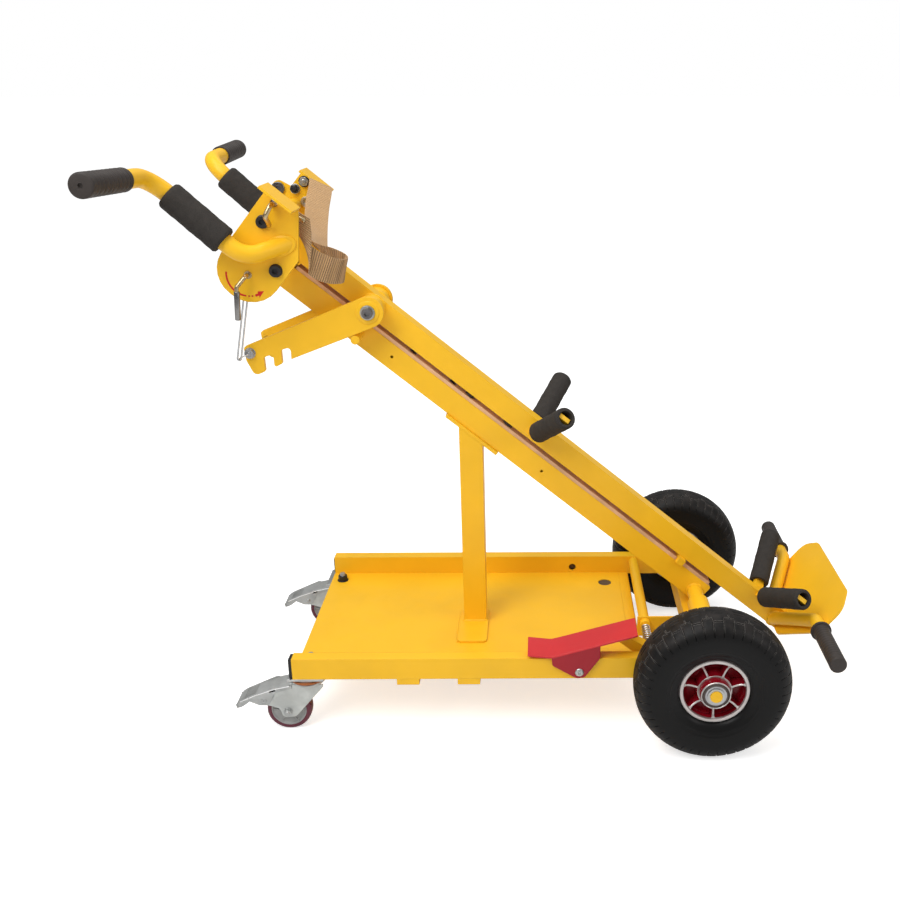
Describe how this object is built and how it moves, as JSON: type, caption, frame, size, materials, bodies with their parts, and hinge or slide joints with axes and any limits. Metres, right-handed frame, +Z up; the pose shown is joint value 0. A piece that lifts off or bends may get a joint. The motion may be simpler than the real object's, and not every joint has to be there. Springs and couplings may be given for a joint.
{
  "type": "self-levelling hand cart",
  "caption": "Tilting hand cart: yellow tray frame on wheels and braked casters, sloped twin-rail mast with handles, notched arms, strap, padded arms and a toe plate.",
  "frame": {"origin": "centre of the footprint on the ground, under the middle of the overall box", "axes": "+X forward from the handles to the toe plate, +Y to the side away from the pedal, +Z up"},
  "size_m": [1.15, 0.7216, 0.9598],
  "materials": {
    "yellow_paint": "semi-gloss yellow powder coat",
    "red_paint": "semi-gloss red powder coat",
    "red_rim": "dark red enamel with bright edges",
    "tyre": "matt black solid tyre",
    "black_rubber": "ribbed matt black rubber",
    "black_foam": "fine-pored black foam",
    "black_plastic": "matt black plastic",
    "grey_plastic": "matt grey plastic",
    "orange_plastic": "matt orange plastic",
    "maroon_polyurethane": "glossy maroon polyurethane",
    "zinc": "bright zinc plate",
    "brassy_zinc": "yellowish zinc plate",
    "steel": "bright machined steel",
    "black_oxide": "satin black oxide",
    "dark_sleeve": "dark grey plastic sleeve",
    "brown_strip": "matt brown strip",
    "webbing": "tan woven webbing"
  },
  "bodies": {
    "base": {"side_rails": "yellow_paint", "rail_end_caps": "black_plastic", "tray_floor": "yellow_paint", "tray_bearers": "yellow_paint", "axle_beam": "yellow_paint", "latch_bracket": "yellow_paint", "pivot_bearings": "yellow_paint", "post": "yellow_paint", "post_plates": "yellow_paint", "axle": "yellow_paint", "axle_rings": "zinc", "caster_plates": "zinc", "caster_bolts": "black_oxide", "caster_dust_rings": "orange_plastic", "pedal_pin": "zinc"},
    "near_wheel": {"near_tyre": "tyre", "near_rim": "red_rim", "near_wheel_bearings": "steel"},
    "far_wheel": {"far_tyre": "tyre", "far_rim": "red_rim", "far_wheel_bearings": "steel"},
    "near_swivel": {"near_caster_fork": "zinc", "near_caster_pins": "zinc"},
    "far_swivel": {"far_caster_fork": "zinc", "far_caster_pins": "zinc"},
    "near_roller": {"near_caster_core": "grey_plastic", "near_caster_tread": "maroon_polyurethane"},
    "far_roller": {"far_caster_core": "grey_plastic", "far_caster_tread": "maroon_polyurethane"},
    "near_brake": {"near_brake_lever": "zinc"},
    "far_brake": {"far_brake_lever": "zinc"},
    "mast": {"upper_rail": "yellow_paint", "lower_rail": "yellow_paint", "mast_cap": "black_plastic", "wear_strip": "brown_strip", "strip_screws": "black_oxide", "spacer_lug": "yellow_paint", "pivot_tube": "yellow_paint", "toe_plate": "yellow_paint", "front_tubes": "yellow_paint", "front_grips": "black_rubber", "arm_bars": "yellow_paint", "arm_pads": "black_foam", "head_plates": "yellow_paint", "head_bolts": "black_oxide", "head_spacers": "yellow_paint", "handle_tubes": "yellow_paint", "handle_sleeves": "black_foam", "handle_grips": "black_rubber", "hook_arm_mounts": "yellow_paint", "strap": "webbing", "strap_hook": "brassy_zinc"},
    "arms": {"hook_arms": "yellow_paint", "hook_arm_bolt": "steel"},
    "link": {"wire_link": "zinc"},
    "lock_lever": {"lever": "zinc", "lever_sleeve": "dark_sleeve"},
    "pedal": {"pedal": "red_paint"},
    "latch": {"latch_shaft": "yellow_paint", "latch_spring": "steel"}
  },
  "joints": [
    {"name": "mast_tilt", "type": "hinge", "parent": "base", "child": "mast", "pos_m": [0.31739, 0, 0.172], "axis": [0, 1, 0], "range_deg": [0, 50.5]},
    {"name": "near_wheel_spin", "type": "hinge", "parent": "base", "child": "near_wheel", "pos_m": [0.31439, -0.25, 0.13], "axis": [0, 1, 0], "continuous": true},
    {"name": "near_caster_swivel", "type": "hinge", "parent": "base", "child": "near_swivel", "pos_m": [-0.36661, -0.176, 0.098], "axis": [0, 0, 1], "continuous": true},
    {"name": "near_roller_spin", "type": "hinge", "parent": "near_swivel", "child": "near_roller", "pos_m": [-0.40261, -0.176, 0.0385], "axis": [0, 1, 0], "continuous": true},
    {"name": "near_brake_press", "type": "hinge", "parent": "near_swivel", "child": "near_brake", "pos_m": [-0.44161, -0.176, 0.062], "axis": [0, -1, 0], "range_deg": [0, 12]},
    {"name": "far_wheel_spin", "type": "hinge", "parent": "base", "child": "far_wheel", "pos_m": [0.31439, 0.25, 0.13], "axis": [0, 1, 0], "continuous": true},
    {"name": "far_caster_swivel", "type": "hinge", "parent": "base", "child": "far_swivel", "pos_m": [-0.36661, 0.176, 0.098], "axis": [0, 0, 1], "continuous": true},
    {"name": "far_roller_spin", "type": "hinge", "parent": "far_swivel", "child": "far_roller", "pos_m": [-0.40261, 0.176, 0.0385], "axis": [0, 1, 0], "continuous": true},
    {"name": "far_brake_press", "type": "hinge", "parent": "far_swivel", "child": "far_brake", "pos_m": [-0.44161, 0.176, 0.062], "axis": [0, -1, 0], "range_deg": [0, 12]},
    {"name": "pedal_rock", "type": "hinge", "parent": "base", "child": "pedal", "pos_m": [0.09739, -0.207, 0.123], "axis": [0, 1, 0], "range_deg": [0, 8], "stiffness_Nm_per_rad": 4, "springref_deg": -8.59},
    {"name": "latch_turn", "type": "hinge", "parent": "base", "child": "latch", "pos_m": [0.22139, 0, 0.135], "axis": [0, 1, 0], "range_deg": [-12, 0]},
    {"name": "lever_turn", "type": "hinge", "parent": "mast", "child": "lock_lever", "pos_m": [-0.42464, -0.11, 0.78109], "axis": [0, 1, 0], "range_deg": [0, 90]},
    {"name": "arms_lift", "type": "hinge", "parent": "mast", "child": "arms", "pos_m": [-0.25038, 0, 0.70794], "axis": [0, 1, 0], "range_deg": [0, 6]},
    {"name": "link_swing", "type": "hinge", "parent": "arms", "child": "link", "pos_m": [-0.46135, -0.079, 0.6357], "axis": [0, 1, 0], "range_deg": [-4, 0]}
  ],
  "couplings": [
    {"joint": "latch_turn", "follows": "pedal_rock", "ratio": -1.3},
    {"joint": "arms_lift", "follows": "lever_turn", "ratio": 0.0624},
    {"joint": "link_swing", "follows": "lever_turn", "ratio": -0.0345}
  ]
}
